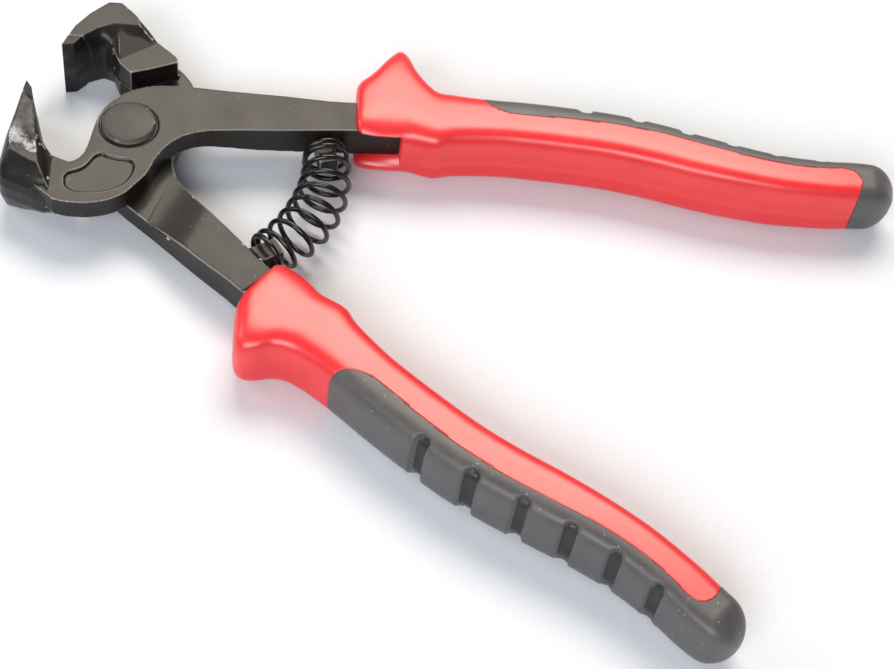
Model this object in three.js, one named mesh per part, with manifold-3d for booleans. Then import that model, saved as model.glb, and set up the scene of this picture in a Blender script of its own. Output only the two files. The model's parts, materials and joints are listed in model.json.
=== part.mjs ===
// Tile nippers: two crossed steel levers on one rivet, carbide-tipped jaws, a curved
// return spring and two-component grips.
// Millimetres, +Z up along the rivet. +X points to the handles, -X to the jaws.
// Everything is laid out from the lap plane, where the two levers meet on the pivot axis.
// The rear lever and its grip are laid out like the front ones, then turned half a turn about X.
import * as THREE from 'three';
import { mergeVertices } from 'three/addons/utils/BufferGeometryUtils.js';
import Module from 'manifold-3d';

const wasm = await Module();
wasm.setup();

// Driving dimensions
const LAP_GAP = 0.3; // between the two levers' lapped faces
const LEVER_FACE = 5.5; // a lever's outer face, from the lap plane
const JAW_FACE = 8; // half the cutting width
const RIVET = { shank: 4, hole: 4.1, head: 5.85, height: 1.3, crown: 0.3, seat: 0.1 };
const TIP_GAP = 0.3; // braze line between a carbide tip and its seat
const GRIP_GAP = 0.3; // between the moulded parts of a grip, and around the steel
const EDGE = 0.2; // chamfer round the levers' flat faces
const SHANK_BACK = { from: [10, -0.5], to: [48, -2.9] }; // [x, z] along the shank's lapped side
const TANG = { back: -2.4, face: 2.8 };
const JAW_LEVELS = [8, 7.2, 5.8, 3.4]; // half thicknesses at which a jaw's outline is drawn
const JAW_HEEL = -16; // the relief towards the cutting edge starts at this y
const SPRING = {
  wire: 1.2, turns: 10, seat: [39.8, 18.3], bow: 6, lift: 1.7,
  closeTurns: 1.5, closePitch: 1.7, endRadius: 4.6, bellyRadius: 5.7, sides: 6, stepsPerTurn: 18,
};
const LUG = { length: 6, root: 1.6, width: 5, height: 4 };
const GRIP = { squareness: 4, ringPoints: 20, thinnest: 0.5 };
const GROOVE = { radii: [103.5, 115.2, 126.2, 136.8, 147.4, 158.2], width: 3.2, depth: 1.1, start: 4 };
const POCKET_DEPTH = 0.6;
const FACE_Z = LEVER_FACE + RIVET.seat + RIVET.height; // the rivet head's flat face
const ROUND = 48; // sides of a round piece
const CLEAR = 60; // how far a cutter runs past what it cuts

// ---- helpers -------------------------------------------------------------------------

function toSolid(geometry) {
  const bare = new THREE.BufferGeometry();
  bare.setAttribute('position', geometry.attributes.position);
  if (geometry.index) bare.setIndex(geometry.index);
  const merged = mergeVertices(bare, 1e-4);
  return new wasm.Manifold(new wasm.Mesh({
    numProp: 3,
    vertProperties: Float32Array.from(merged.attributes.position.array),
    triVerts: Uint32Array.from(merged.index.array),
  }));
}

function toGeometry(solid) {
  const { vertProperties, triVerts } = solid.getMesh();
  const geometry = new THREE.BufferGeometry();
  geometry.setAttribute('position', new THREE.Float32BufferAttribute(vertProperties, 3));
  geometry.setIndex(new THREE.Uint32BufferAttribute(triVerts, 1));
  geometry.computeVertexNormals();
  return geometry;
}

const join = (...solids) => solids.reduce((a, b) => a.add(b));
const flat = (points) => points.map(([x, y]) => new THREE.Vector2(x, y));

// [x, y] points along a smooth curve through the given ones.
function smooth(points, perSpan = 3) {
  const curve = new THREE.SplineCurve(flat(points));
  return curve.getPoints((points.length - 1) * perSpan).map((p) => [p.x, p.y]);
}

// A plan outline raised between two heights, with a small chamfer round both faces.
function slab(points, low, high, chamfer = 0) {
  const geometry = new THREE.ExtrudeGeometry(new THREE.Shape(flat(points)), {
    depth: high - low - 2 * chamfer,
    bevelEnabled: chamfer > 0,
    bevelThickness: chamfer,
    bevelSize: chamfer,
    bevelOffset: -chamfer,
    bevelSegments: 1,
  });
  geometry.translate(0, 0, low + chamfer);
  return toSolid(geometry);
}

// Rings of equal point count, joined one to the next and capped at both ends.
function skin(rings, cap) {
  const count = rings[0].length;
  const index = [];
  for (let r = 0; r + 1 < rings.length; r += 1) {
    for (let i = 0; i < count; i += 1) {
      const a = r * count + i;
      const b = r * count + ((i + 1) % count);
      index.push(a, b, b + count, a, b + count, a + count);
    }
  }
  const last = (rings.length - 1) * count;
  for (const [i, j, k] of cap) index.push(k, j, i, last + i, last + j, last + k);
  const geometry = new THREE.BufferGeometry();
  geometry.setAttribute('position', new THREE.Float32BufferAttribute(rings.flat(2), 3));
  geometry.setIndex(index);
  return toSolid(geometry);
}

function cylinder(radius, low, high) {
  const profile = flat([[0, low], [radius, low], [radius, high], [0, high]]);
  const geometry = new THREE.LatheGeometry(profile, ROUND);
  geometry.rotateX(Math.PI / 2);
  return toSolid(geometry);
}

// A path moved sideways, to its left for a positive distance.
function offsetPath(points, distance) {
  return points.map(([x, y], i) => {
    const [ax, ay] = points[Math.max(i - 1, 0)];
    const [bx, by] = points[Math.min(i + 1, points.length - 1)];
    const length = Math.hypot(bx - ax, by - ay);
    return [x - ((by - ay) / length) * distance, y + ((bx - ax) / length) * distance];
  });
}

// ---- levers --------------------------------------------------------------------------
// Both are described in the front lever's place: handle towards +Y, jaw towards -Y.

const innerWall = [[16.8, 6.7], [22.7, 9.8], [30.8, 13.8], [40.8, 19], [46, 21.6]];
const outerWall = [[44.5, 30.2], [37.2, 27.2], [28.5, 24.3], [15.6, 19.6]];
const waist = [[14.1, 4.7], [11.7, 1.8], [10.1, -2.3], [9.7, -6.4], [9.9, -10.6], [9.2, -14.1],
  [8.2, -17.8], [6.5, -20.5], [4.6, -22.4], [2.3, -24], [0, -25.1], [-2.6, -26], [-5.1, -26.4]];
const throat = [[7.4, 16.8], [3.8, 15.3], [-0.2, 13.2], [-2.9, 11.1], [-5.1, 8.3], [-6.9, 4.1],
  [-7.4, 0], [-6.6, -4.5], [-5.5, -9], [-5.2, -12.2], [-5.8, -14.3], [-7.3, -15.8], [-8.7, -16.1],
  [-10.4, -15.7]];

// The half-thickness plate that laps the other lever, from the jaw's neck to the grip.
function lapPlate() {
  const points = [...innerWall, ...outerWall, ...smooth(throat), ...smooth([...waist].reverse())];
  return slab(points, LAP_GAP / 2, LEVER_FACE, EDGE);
}

// Past the lap the shank gains thickness on its back, more towards the grip.
function shank() {
  const points = [[13.2, 4.6], ...innerWall, ...outerWall.slice(0, 3), [14.2, 18.9]];
  const plan = slab(points, -LEVER_FACE, LEVER_FACE - 1);
  const { from, to } = SHANK_BACK;
  const side = flat([from, to, [to[0], LEVER_FACE], [from[0], LEVER_FACE]]);
  const profile = new THREE.ExtrudeGeometry(new THREE.Shape(side), { depth: CLEAR, bevelEnabled: false });
  profile.rotateX(Math.PI / 2);
  profile.translate(0, CLEAR, 0);
  return plan.intersect(toSolid(profile));
}

// A strip of steel along [x, y, half width] points, square at both ends.
function strip(path, spread, low, high) {
  const first = new THREE.Vector2(path[1][0] - path[0][0], path[1][1] - path[0][1]).normalize();
  const [nx, ny] = path[path.length - 1];
  const [mx, my] = path[path.length - 2];
  const last = new THREE.Vector2(nx - mx, ny - my).normalize();
  const centre = path.map(([x, y]) => [x, y]);
  centre[0] = [path[0][0] - first.x * spread, path[0][1] - first.y * spread];
  centre[path.length - 1] = [nx + last.x * spread, ny + last.y * spread];
  const side = (sign) => centre.map((p, i) => {
    const wide = offsetPath(centre, sign * (path[i][2] + spread));
    return wide[i];
  });
  return slab([...side(-1), ...side(1).reverse()], low - spread, high + spread);
}

// The steel inside the grip: the full shank in the grip's slot, then a thinner tang.
const rootPath = [[43.8, 25.2, 4.2], [54, 29.9, 4.1]];
const tangPath = [[46, 26.2, 3.6], [57, 30.8, 3.2], [66, 33.9, 2.8], [80, 37.9, 2.1], [97, 43.2, 2]];

function gripSteel(spread = 0) {
  return join(
    strip(rootPath, spread, SHANK_BACK.to[1], LEVER_FACE),
    strip(tangPath, spread, TANG.back, TANG.face),
  );
}

// The spring's middle line: an arc from one lever's inner wall to the other's.
const [seatX, seatY] = SPRING.seat;
const arcRadius = (seatY ** 2 + SPRING.bow ** 2) / (2 * SPRING.bow);
const arcCentre = seatX + SPRING.bow - arcRadius;
const arcHalf = Math.asin(seatY / arcRadius);

// A forged lug on the inner wall, which the spring's close end turns grip.
function lug() {
  const geometry = new THREE.BoxGeometry(LUG.length + LUG.root, LUG.width, LUG.height);
  geometry.translate((LUG.length - LUG.root) / 2, 0, 0);
  geometry.rotateZ(arcHalf - Math.PI / 2);
  geometry.translate(seatX, seatY, 0);
  return toSolid(geometry);
}

// A jaw's plan outlines, clockwise from its cutting tip: "face" at the two side faces,
// "middle" through its thickness. "relief" narrows it towards the tip, "seat" is the
// inner and outer end of the carbide tip's seat, and "necks" join it to the lever.
const jaws = {
  front: {
    tip: [-26.3, 1.2],
    land: [-24.1, -0.4],
    face: [[-19.6, -7.2], [-16.2, -13], [-13, -18.2], [-11, -21], [-15.2, -20.6], [-19, -19.8],
      [-21.4, -15.3], [-23.3, -9], [-25.2, -3]],
    middle: [[-18.4, -7.4], [-14.4, -12.1], [-10.6, -15], [-8.6, -21.2], [-14.6, -25], [-19.4, -24.8],
      [-22.3, -16.6], [-24, -9.6], [-25.6, -3.2]],
    relief: 2,
    seat: [[-21.7, -4], [-25.4, -1.9]],
    necks: [{
      low: -LEVER_FACE,
      high: 1,
      points: [[-10.8, -15.2], [-7, -15], [-3.8, -18], [-8.6, -21.4], [-14, -22]],
    }, {
      low: 0.5,
      high: LEVER_FACE,
      points: [[-10.8, -15.4], [-7, -15.4], [0, -19], [0, -25], [-5.1, -26.3], [-14, -23.6]],
    }],
  },
  rear: {
    tip: [-23.6, -12.9],
    land: [-21.4, -14.3],
    face: [[-20.4, -18.4], [-18.6, -22.2], [-15.8, -25], [-12.4, -27.6], [-14.4, -29.8], [-17.8, -31],
      [-20.6, -30], [-22.6, -24.8], [-23.9, -19.4]],
    middle: [[-19.4, -17.6], [-16.6, -19.8], [-13, -18.6], [-9.6, -22], [-12.6, -30.6], [-18.8, -32.3],
      [-22.6, -29.4], [-23.9, -25], [-24.2, -19.6]],
    relief: 0,
    seat: [[-19.9, -17.7], [-24, -16.2]],
    necks: [{
      low: -LEVER_FACE,
      high: 1,
      points: [[-14, -19], [-10.6, -15.9], [-7, -14.3], [-3.4, -17.5], [1.2, -22.2], [0.4, -23.4],
        [-2, -24.4], [-5.8, -25.7], [-9.1, -28.1], [-13, -30.4], [-17, -31.4]],
    }, {
      low: 0.5,
      high: LEVER_FACE,
      points: [[-14, -19], [-10.6, -15.4], [-7, -15.4], [0, -19], [0, -25],
        [-5.8, -25.7], [-9.1, -28.1], [-13, -30.4], [-17, -31.4]],
    }],
  },
};

// The jaw block, barrelled from its middle to both side faces.
function jawBlock({ tip, land, face, middle, relief }) {
  const ring = (level, sign) => {
    const share = Math.sqrt(1 - (level / JAW_FACE) ** 4);
    const points = face.map(([x, y], i) => [x + (middle[i][0] - x) * share, y + (middle[i][1] - y) * share]);
    return [tip, land, ...points].reverse().map(([x, y]) => {
      const lean = relief * Math.max(0, (y - JAW_HEEL) / (tip[1] - JAW_HEEL));
      return [x, y, sign * (level - lean * (level / JAW_FACE))];
    });
  };
  const lower = JAW_LEVELS.map((level) => ring(level, -1));
  const upper = [...JAW_LEVELS].reverse().map((level) => ring(level, 1));
  const cap = THREE.ShapeUtils.triangulateShape(flat([tip, land, ...face].reverse()), []);
  return skin([...lower, ...upper], cap);
}

// Everything on the cutting side of a jaw's seat line, moved off it by a gap. "seatCut" is
// how far it runs past the seat's inner and outer ends, and away from the seat.
const seatCut = { inner: 1.5, outer: 10, depth: 12 };

function tipSide({ seat }, gap) {
  const [inner, outer] = flat(seat);
  const along = outer.clone().sub(inner).normalize();
  const across = new THREE.Vector2(along.y, -along.x);
  const corner = (end, past, off) => {
    const point = end.clone().addScaledVector(along, past).addScaledVector(across, off);
    return point.toArray();
  };
  return slab([
    corner(inner, -seatCut.inner, gap),
    corner(outer, seatCut.outer, gap),
    corner(outer, seatCut.outer, gap + seatCut.depth),
    corner(inner, -seatCut.inner, gap + seatCut.depth),
  ], -CLEAR, CLEAR);
}

const pocketOutline = [[-5.9, -19.6], [-5.6, -18], [-3.9, -16.1], [-3.1, -14.2], [-2.7, -11.4],
  [-1.6, -9.9], [0, -9.8], [2.2, -9.5], [4.2, -8.8], [6, -9.1], [7.1, -10.7], [7.4, -14], [6.2, -17.3],
  [3.2, -20.3], [-1.4, -22.5], [-4.4, -22]];

function lever(side) {
  const jaw = jaws[side];
  const block = jawBlock(jaw).subtract(tipSide(jaw, 0));
  const necks = jaw.necks.map(({ low, high, points }) => slab([...points].reverse(), low, high, EDGE));
  const body = join(lapPlate(), ...necks, shank(), gripSteel(), lug(), block);
  const bored = body.subtract(cylinder(RIVET.hole, -LEVER_FACE - 1, LEVER_FACE + 1));
  if (side === 'rear') return bored;
  const pocket = smooth([...pocketOutline, pocketOutline[0]], 2);
  return bored.subtract(slab(pocket, LEVER_FACE - POCKET_DEPTH, CLEAR));
}

const carbideTip = (side) => jawBlock(jaws[side]).intersect(tipSide(jaws[side], TIP_GAP));

// ---- rivet and spring ----------------------------------------------------------------

function rivet() {
  const { shank: r, head, height, crown, seat } = RIVET;
  const under = LEVER_FACE + seat;
  const half = [[r, under], [head, under], [head, under + height - crown], [head - crown, under + height]];
  const mirrored = half.map(([x, z]) => [x, -z]).reverse();
  const profile = [[0, -under - height], ...mirrored, ...half, [0, under + height]];
  const geometry = new THREE.LatheGeometry(flat(profile), ROUND);
  geometry.rotateX(Math.PI / 2);
  return geometry;
}

// Close turns on each lug, open turns between them, and a fuller belly in the middle.
class SpringCurve extends THREE.Curve {
  getPoint(t, target = new THREE.Vector3()) {
    const { turns, lift, closeTurns, closePitch, endRadius, bellyRadius } = SPRING;
    const length = 2 * arcHalf * arcRadius - 2 * lift;
    const open = (length - 2 * closeTurns * closePitch) / (turns - 2 * closeTurns);
    const turn = t * turns;
    const fromEnd = Math.min(turn, turns - turn);
    const near = Math.min(fromEnd, closeTurns) * closePitch + Math.max(0, fromEnd - closeTurns) * open;
    const along = lift + (turn < turns / 2 ? near : length - near);
    const angle = arcHalf - along / arcRadius;
    const radius = endRadius + (bellyRadius - endRadius) * Math.sin(Math.PI * t) ** 1.5;
    const wind = 2 * Math.PI * turn;
    const reach = arcRadius + radius * Math.cos(wind);
    return target.set(arcCentre + reach * Math.cos(angle), reach * Math.sin(angle), radius * Math.sin(wind));
  }
}

function spring() {
  const { wire, turns, sides, stepsPerTurn } = SPRING;
  const section = flat(Array.from({ length: sides }, (_, i) => {
    const a = (2 * Math.PI * i) / sides;
    return [(wire / 2) * Math.cos(a), (wire / 2) * Math.sin(a)];
  }));
  return new THREE.ExtrudeGeometry(new THREE.Shape(section), {
    steps: turns * stepsPerTurn,
    bevelEnabled: false,
    extrudePath: new SpringCurve(),
  });
}

// ---- grips ---------------------------------------------------------------------------
// A grip is a row of sections, each from its inner edge to its outer edge in plan.

const gripInner = [[46.4, 20.9], [47.6, 20.3], [49, 20.3], [51, 20.7], [53, 21.3], [55.5, 22.4],
  [58.5, 23.9]];
const gripGuard = {
  front: [[40.4, 35.4], [41.2, 39], [42.8, 44], [44.6, 48.2], [46.8, 49.8], [49.8, 47.6], [53.6, 44]],
  rear: [[42.6, 34.2], [43.8, 37.5], [45.2, 41], [46.8, 44.2], [48.9, 45.3], [51.4, 44.4], [54.2, 42.3]],
};
const guardHalf = [7, 7.6, 7.9, 8, 8, 8, 8];
// [x, y, half width, half thickness] along the handle's middle line.
const gripMiddle = [[61, 33.2, 8.9, 8], [65, 34.8, 7.8, 8], [70, 36.8, 7.2, 8], [75, 38.8, 6.9, 8],
  [80, 40.7, 6.9, 8], [90, 44, 6.9, 8], [100, 46.9, 6.9, 8], [110, 48.8, 6.8, 8], [120, 50.05, 6.6, 8],
  [130, 51.6, 6.2, 8], [140, 53.9, 5.9, 7.8], [150, 57.5, 5.8, 7.5], [155, 59.8, 5.8, 7.3],
  [160, 61.7, 5.3, 6.6], [163, 62.2, 4, 5.2], [164.9, 62.3, 1.6, 2.4]];

function gripSections(side) {
  const edges = gripInner.map((inner, i) => ({ inner, outer: gripGuard[side][i], half: guardHalf[i] }));
  const centre = gripMiddle.map(([x, y]) => [x, y]);
  gripMiddle.forEach(([, , width, half], i) => {
    edges.push({ inner: offsetPath(centre, -width)[i], outer: offsetPath(centre, width)[i], half });
  });
  return edges;
}

function gripForm(side, inset = 0) {
  const { squareness, ringPoints, thinnest } = GRIP;
  const rings = gripSections(side).map(({ inner, outer, half }) => {
    const centre = [(inner[0] + outer[0]) / 2, (inner[1] + outer[1]) / 2];
    const reach = [(outer[0] - inner[0]) / 2, (outer[1] - inner[1]) / 2];
    const width = Math.hypot(...reach);
    const scale = Math.max(thinnest, width - inset) / width;
    const height = Math.max(thinnest, half - inset);
    return Array.from({ length: ringPoints }, (_, i) => {
      const a = (2 * Math.PI * i) / ringPoints;
      const c = Math.sign(Math.cos(a)) * Math.abs(Math.cos(a)) ** (2 / squareness);
      const s = Math.sign(Math.sin(a)) * Math.abs(Math.sin(a)) ** (2 / squareness);
      return [centre[0] + reach[0] * scale * c, centre[1] + reach[1] * scale * c, height * s];
    });
  });
  const cap = Array.from({ length: ringPoints - 2 }, (_, i) => [0, i + 1, i + 2]);
  return skin(rings, cap);
}

// The line in plan between the hard body and the soft inlay on its outer side.
const splitLine = [[66.6, 52], [67.6, 46], [68.4, 43.8], [70, 41.8], [73, 40.6], [77, 40.8], [82, 42.5],
  [90, 45.6], [100, 48.8], [110, 51], [120, 52.3], [130, 53.5], [140, 55.7], [147, 58.3], [151.6, 60.6],
  [154.4, 61], [156.5, 59.4], [157.2, 56.5], [157.2, 48]];

const beyondGrip = [[180, 48], [180, 80], [66, 80]];

function softSide(gap) {
  const line = offsetPath(smooth(splitLine, 2), -gap);
  return slab([...line, ...beyondGrip], -CLEAR, CLEAR);
}

// The slot in the grip's nose leaves the shank's inner wall bare.
const noseSlot = [[44, 21.4], [55.4, 26.6], [60, 16.4], [48, 8]];

function slot() {
  return slab(noseSlot, SHANK_BACK.to[1] - GRIP_GAP, LEVER_FACE + GRIP_GAP);
}

function grip(side) {
  return gripForm(side).subtract(softSide(GRIP_GAP)).subtract(gripSteel(GRIP_GAP)).subtract(slot());
}

// The soft inlay, with finger grooves that wrap over its outer side at these distances
// from the pivot.
function overmould(side) {
  const { radii, width, depth, start } = GROOVE;
  const core = gripForm(side, depth);
  const centre = flat(gripMiddle);
  const grooves = radii.map((radius) => {
    const next = centre.findIndex((p) => p.length() > radius);
    const [a, b] = [centre[next - 1], centre[next]];
    const place = a.clone().lerp(b, (radius - a.length()) / (b.length() - a.length()));
    const cutter = new THREE.BoxGeometry(width, CLEAR, CLEAR);
    cutter.translate(0, start + CLEAR / 2, 0);
    cutter.rotateZ(b.clone().sub(a).angle());
    cutter.translate(place.x, place.y, 0);
    return toSolid(cutter).subtract(core);
  });
  return grooves.reduce((solid, groove) => solid.subtract(groove), gripForm(side).intersect(softSide(0)));
}

// ---- assembly ------------------------------------------------------------------------

const finishes = {
  steel: { color: 0x2b2a2a, roughness: 0.45, metalness: 0.6 },
  carbide: { color: 0x3c3d40, roughness: 0.35, metalness: 0.9 },
  wire: { color: 0x1c1c1e, roughness: 0.3, metalness: 0.8 },
  red: { color: 0xd8383c, roughness: 0.4, metalness: 0 },
  grey: { color: 0x47464a, roughness: 0.75, metalness: 0 },
};

function piece(name, shape, finish) {
  const geometry = shape.isBufferGeometry ? shape : toGeometry(shape);
  const mesh = new THREE.Mesh(geometry, new THREE.MeshStandardMaterial(finishes[finish]));
  mesh.name = name;
  return mesh;
}

const tool = new THREE.Group();
tool.position.z = -FACE_Z; // the frame's origin is on the rivet head's face

for (const side of ['front', 'rear']) {
  const half = new THREE.Group();
  half.add(
    piece(`${side}_lever`, lever(side), 'steel'),
    piece(`${side}_carbide_tip`, carbideTip(side), 'carbide'),
    piece(`${side}_grip`, grip(side), 'red'),
    piece(`${side}_grip_overmould`, overmould(side), 'grey'),
  );
  if (side === 'rear') half.rotation.x = Math.PI;
  tool.add(half);
}
tool.add(piece('pivot_rivet', rivet(), 'steel'), piece('return_spring', spring(), 'wire'));

export default tool;
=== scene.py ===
# %% [markdown]
# Tile nippers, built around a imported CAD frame.
# The CAD model settles sizes, places and the pivot. This script gives every piece its real
# surface: forged and blacked steel, bare ground steel, carbide, spring wire, moulded plastic
# and soft rubber. Each piece is drawn in millimetres from the lap plane, where the two
# levers meet, because that is how a drawing of nippers is dimensioned, and then put in
# place in metres.

# %% Load the frame
import json
import math

import bmesh
import bpy
import numpy as np
from mathutils import Matrix, Vector


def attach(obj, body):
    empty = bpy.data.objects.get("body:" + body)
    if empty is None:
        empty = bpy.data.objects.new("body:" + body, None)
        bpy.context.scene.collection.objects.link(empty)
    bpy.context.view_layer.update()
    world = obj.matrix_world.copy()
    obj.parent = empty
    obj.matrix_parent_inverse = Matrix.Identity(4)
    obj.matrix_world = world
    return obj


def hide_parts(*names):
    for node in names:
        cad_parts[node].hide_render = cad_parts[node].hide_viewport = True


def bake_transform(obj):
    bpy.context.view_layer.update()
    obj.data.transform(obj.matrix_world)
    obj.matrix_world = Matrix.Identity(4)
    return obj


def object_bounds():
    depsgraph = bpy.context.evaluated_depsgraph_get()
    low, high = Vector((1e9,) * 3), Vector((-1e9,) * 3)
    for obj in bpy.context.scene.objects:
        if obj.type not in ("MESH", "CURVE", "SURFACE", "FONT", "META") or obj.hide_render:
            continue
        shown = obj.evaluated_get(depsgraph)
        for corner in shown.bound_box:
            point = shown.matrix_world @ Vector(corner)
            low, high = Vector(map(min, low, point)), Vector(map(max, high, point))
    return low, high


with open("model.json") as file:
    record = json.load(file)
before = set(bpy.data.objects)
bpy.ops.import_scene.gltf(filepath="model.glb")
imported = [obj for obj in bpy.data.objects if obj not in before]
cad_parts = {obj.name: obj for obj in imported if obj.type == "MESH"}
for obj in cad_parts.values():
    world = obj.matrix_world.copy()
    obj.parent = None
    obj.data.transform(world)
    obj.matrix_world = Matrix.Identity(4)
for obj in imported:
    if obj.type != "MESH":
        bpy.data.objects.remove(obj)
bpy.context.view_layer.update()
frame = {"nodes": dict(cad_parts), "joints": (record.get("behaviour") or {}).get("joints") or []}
FRONT, REAR = "front_half", "rear_half"
MM = 0.001
LAP_Z = frame["joints"][0]["pos_m"][2]  # height of the lap plane
LEVER_FACE = 5.5  # a lever's outer face, from the lap plane
print("nodes", sorted(frame["nodes"]), "lap plane", LAP_Z)


# %% [markdown]
# Studio. The tool lies on a plain pale sheet. Black paint has no colour of its own to show,
# so it is lit by what it mirrors: one strong soft box stands behind the tool, where the flat
# top faces reflect it, and the walls that face the camera mirror only the dim room. A box in
# front lights the red walls and draws a bright line along the rounded edges, and a weak one
# stands on the left. The standard view transform keeps the red as strong as the plastic is.

# %% Floor, room light and soft boxes
FLOOR_SIZE, FLOOR_GAP = 4.0, 0.0002
floor_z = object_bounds()[0][2] - FLOOR_GAP

floor_mesh = bpy.data.meshes.new("floor")
half = FLOOR_SIZE / 2
floor_mesh.from_pydata(
    [(-half, -half, floor_z), (half, -half, floor_z), (half, half, floor_z), (-half, half, floor_z)],
    [], [(0, 1, 2, 3)])
floor = bpy.data.objects.new("floor", floor_mesh)
bpy.context.scene.collection.objects.link(floor)


TOOL_MIDDLE = Vector((0.06, 0, 0))


def soft_box(name, place, size, watts, colour=(1, 1, 1)):
    """A rectangular lamp that points at the middle of the tool."""
    light = bpy.data.lights.new(name, "AREA")
    light.color = colour
    light.shape = "RECTANGLE"
    light.size, light.size_y = size
    light.energy = watts
    lamp = bpy.data.objects.new(name, light)
    bpy.context.scene.collection.objects.link(lamp)
    lamp.location = place
    aim = TOOL_MIDDLE - Vector(place)
    lamp.rotation_euler = aim.to_track_quat("-Z", "Y").to_euler()


soft_box("back_box", (-0.12, 0.74, 1.05), (0.95, 0.6), 15, (1, 0.9, 0.76))
soft_box("front_box", (0.1, -0.95, 0.75), (0.9, 0.5), 10)
soft_box("left_box", (-1.0, -0.1, 0.7), (0.5, 0.7), 3)
bpy.context.scene.view_settings.view_transform = "Standard"
print("floor at", round(floor_z, 4))

# %% [markdown]
# Camera. It looks down at the tool from the side of the rear handle, with a longish lens and
# a little roll, as a hand-held view has. A real camera has one direction, so its place
# follows from the point it aims at, three angles and a distance.

# %% Camera
AZIMUTH, ELEVATION, ROLL = math.radians(13.654), math.radians(53.829), math.radians(10.009)
DISTANCE = 0.4093
AIM = Vector((0.0851, -0.0184, LAP_Z))
LENS_MM, SENSOR_MM = 76.8, 36

away = Vector((
    math.sin(AZIMUTH) * math.cos(ELEVATION),
    -math.cos(AZIMUTH) * math.cos(ELEVATION),
    math.sin(ELEVATION),
))
level = Vector((math.cos(AZIMUTH), math.sin(AZIMUTH), 0))
upright = away.cross(level)
right = math.cos(ROLL) * level + math.sin(ROLL) * upright
up = -math.sin(ROLL) * level + math.cos(ROLL) * upright

camera_data = bpy.data.cameras.new("camera")
camera_data.lens, camera_data.sensor_width = LENS_MM, SENSOR_MM
camera = bpy.data.objects.new("camera", camera_data)
bpy.context.scene.collection.objects.link(camera)
turn = Matrix((right, up, away)).transposed().to_4x4()
camera.matrix_world = Matrix.Translation(AIM + DISTANCE * away) @ turn
bpy.context.scene.camera = camera
print("camera at", [round(v, 3) for v in camera.matrix_world.translation])


# %% [markdown]
# Colour and nodes. Colours are written as they are seen, as sRGB hex values, and turned to
# the linear values a shader works with by one function. A second small function adds any
# node with its settings, values and links, so a material reads as a list of what it is.

# %% Colour and node helpers
def linear(hex_code):
    channels = [int(hex_code[i:i + 2], 16) / 255 for i in (1, 3, 5)]
    return [c / 12.92 if c <= 0.04045 else ((c + 0.055) / 1.055) ** 2.4 for c in channels] + [1]


def add(tree, kind, values=(), links=(), **settings):
    """A node of that kind: settings are its options, values its inputs, links what feeds them."""
    node = tree.nodes.new("ShaderNode" + kind)
    for option, value in settings.items():
        setattr(node, option, value)
    for socket, value in dict(values).items():
        node.inputs[socket].default_value = value
    for socket, source in dict(links).items():
        tree.links.new(source, node.inputs[socket])
    return node


def new_material(name, **surface):
    """A material with its shader, whose even values are set on the shader's own sockets."""
    material = bpy.data.materials.new(name)
    material.use_nodes = True
    tree = material.node_tree
    shader = tree.nodes["Principled BSDF"]
    for socket, value in surface.items():
        shader.inputs[socket.replace("_", " ")].default_value = value
    where = add(tree, "TexCoord").outputs["Object"]
    return material, tree, shader, where


def ramp(tree, source, stops):
    """A colour ramp fed by source: stops are (position, colour)."""
    node = add(tree, "ValToRGB", links={"Fac": source})
    elements = node.color_ramp.elements
    while len(elements) < len(stops):
        elements.new(0.5)
    for element, (position, colour) in zip(elements, stops):
        element.position, element.color = position, colour
    return node.outputs["Color"]


def per_mm(size_mm):
    """A texture scale that repeats about once in that many millimetres."""
    return 1 / (size_mm * MM)


print("black paint in linear light:", [round(v, 4) for v in linear("#141211")])


# %% [markdown]
# Pale sheet. White background paper, slightly cool, with no gloss: a broad rough dielectric.

# %% Material: background paper
paper, tree, shader, where = new_material("background_paper", Roughness=0.9, IOR=1.45)
fibre = add(tree, "TexNoise", {"Scale": per_mm(0.8), "Detail": 3}, {"Vector": where})
shade = ramp(tree, fibre.outputs["Fac"], [(0.3, linear("#e3e9f2")), (0.7, linear("#e8edf5"))])
tree.links.new(shade, shader.inputs["Base Color"])
floor.data.materials.append(paper)

world = bpy.data.worlds.new("room")
world.use_nodes = True
world.node_tree.nodes["Background"].inputs["Color"].default_value = linear("#e9e9ea")
world.node_tree.nodes["Background"].inputs["Strength"].default_value = 0.25
bpy.context.scene.world = world
print("paper and room light set")

# %% [markdown]
# Black enamel on a forging. The levers are drop-forged steel under a thin stoved enamel, a
# dielectric skin of IOR 1.5 over a fine sand-blasted texture. The eye sees a satin sheen
# that breaks up slightly, pin-point specks, and a thin pale line along the sharpest edges,
# partly worn enamel and partly a painted highlight where the rounded edges catch the light.
# Sand-blast pits are about 0.1 mm across, too fine to show, so they are drawn at 0.3 mm.

# %% Material: black enamel
enamel, tree, shader, where = new_material(
    "black_enamel", IOR=1.5, Specular_IOR_Level=0.3, Coat_Weight=0.15, Coat_Roughness=0.14)
blotch = add(tree, "TexNoise", {"Scale": per_mm(9), "Detail": 4}, {"Vector": where})
blast = add(tree, "TexNoise", {"Scale": per_mm(0.3), "Detail": 2, "Roughness": 0.6}, {"Vector": where})
speck = add(tree, "TexVoronoi", {"Scale": per_mm(2.4), "Randomness": 1}, {"Vector": where})
edge = add(tree, "NewGeometry").outputs["Pointiness"]
skin_colour = ramp(tree, blotch.outputs["Fac"], [(0.35, linear("#141211")), (0.7, linear("#1c1917"))])
speck_mask = ramp(tree, speck.outputs["Distance"], [(0.05, (1, 1, 1, 1)), (0.08, (0, 0, 0, 1))])
with_specks = add(tree, "Mix", {"B": linear("#6d6862")}, {"Factor": speck_mask, "A": skin_colour},
                  data_type="RGBA")
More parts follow.
